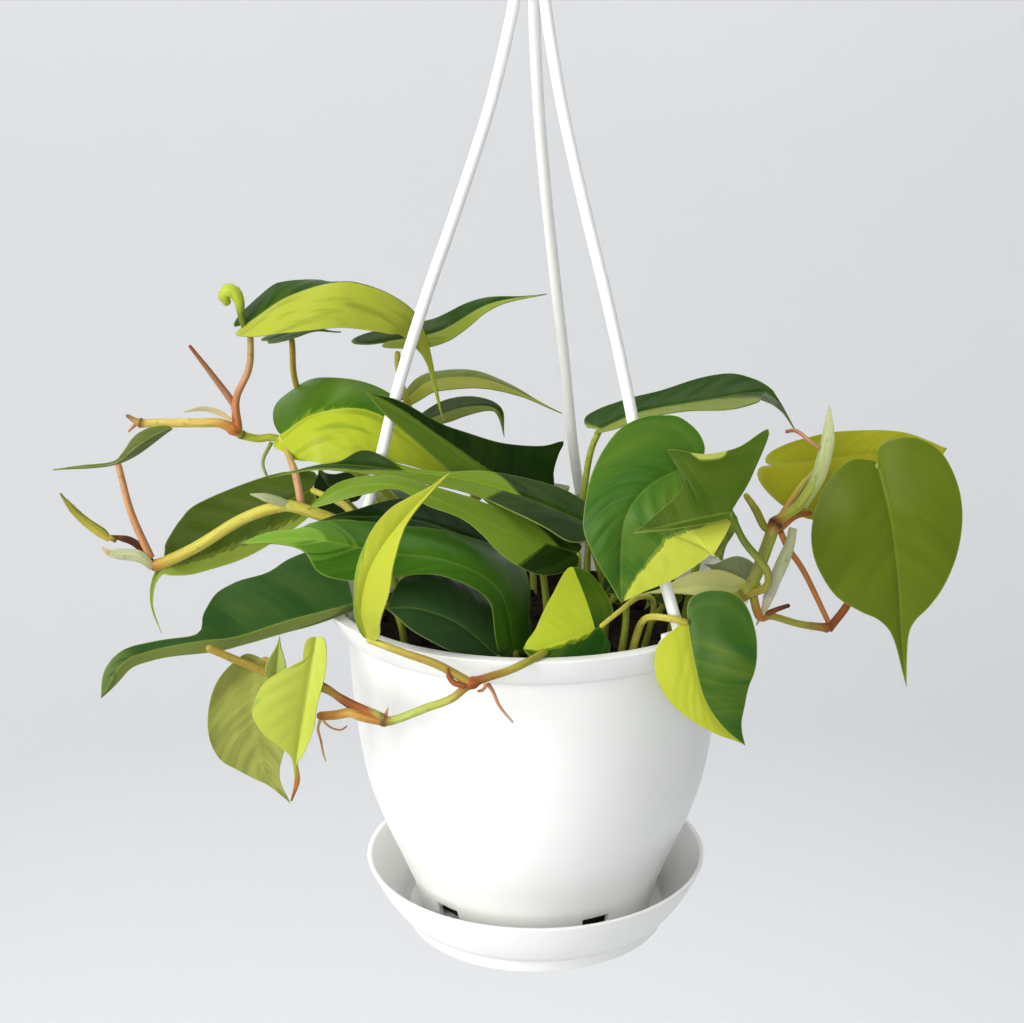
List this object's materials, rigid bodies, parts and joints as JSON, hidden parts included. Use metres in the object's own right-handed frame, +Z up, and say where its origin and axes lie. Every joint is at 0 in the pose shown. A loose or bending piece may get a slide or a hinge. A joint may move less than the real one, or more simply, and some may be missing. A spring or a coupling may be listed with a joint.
{
  "type": "potted hanging philodendron",
  "caption": "Trailing philodendron with marbled heart-shaped leaves in a white hanging pot with a clip-on saucer and a rod hanger.",
  "frame": {"origin": "highest inner point of the hook at the top of the hanger, where it bears on a ceiling hook", "axes": "+Z up along the pot's axis, +X to the right of the side shown in the picture, +Y away from that side"},
  "size_m": [0.326, 0.205, 0.4001],
  "materials": {
    "white_plastic": "smooth glossy white moulded polypropylene",
    "potting_soil": "damp dark peat with bark chips",
    "vine_stem": "smooth yellow-green stem with brown nodes and dry sheaths",
    "leaf_green": "satin waxy leaf, dark green with lime streaks",
    "leaf_lime": "satin waxy leaf, lime yellow with green streaks",
    "leaf_olive": "satin waxy leaf, olive green",
    "leaf_tan": "matt pale underside of a leaf"
  },
  "bodies": {
    "root": {"pot": "white_plastic", "saucer": "white_plastic", "rod_left": "white_plastic", "rod_back": "white_plastic", "rod_right": "white_plastic", "hanger_crown": "white_plastic", "soil": "potting_soil", "vine_upper_left": "vine_stem", "vine_left": "vine_stem", "vine_front": "vine_stem", "vine_right": "vine_stem", "leaf_crown_lime": "leaf_lime", "leaf_crown_under": "leaf_green", "leaf_crown_narrow": "leaf_green", "leaf_rear_arch": "leaf_olive", "leaf_rear_low": "leaf_olive", "leaf_left_lime": "leaf_lime", "leaf_centre_peak": "leaf_green", "leaf_centre_over": "leaf_olive", "leaf_centre_under": "leaf_lime", "leaf_mid_dark": "leaf_green", "leaf_back_dark": "leaf_green", "leaf_left_back": "leaf_olive", "leaf_left_edge": "leaf_olive", "leaf_left_spear": "leaf_olive", "leaf_left_dark": "leaf_green", "leaf_front_big": "leaf_green", "leaf_front_dark": "leaf_green", "leaf_front_fold": "leaf_lime", "leaf_front_heart": "leaf_lime", "leaf_low_tan": "leaf_tan", "leaf_low_lime": "leaf_lime", "leaf_low_small": "leaf_olive", "leaf_right_low": "leaf_green", "leaf_right_big": "leaf_green", "leaf_right_olive": "leaf_olive", "leaf_right_arch": "leaf_green", "leaf_right_gold": "leaf_olive", "leaf_right_heart": "leaf_olive", "leaf_right_pale": "leaf_tan", "leaf_right_grey": "leaf_olive", "leaf_inner_a": "leaf_green", "leaf_inner_b": "leaf_green", "leaf_back_left": "leaf_green", "leaf_back_mid": "leaf_lime", "leaf_back_right": "leaf_green", "leaf_back_high": "leaf_green", "leaf_back_inner": "leaf_green"}
  },
  "joints": []
}
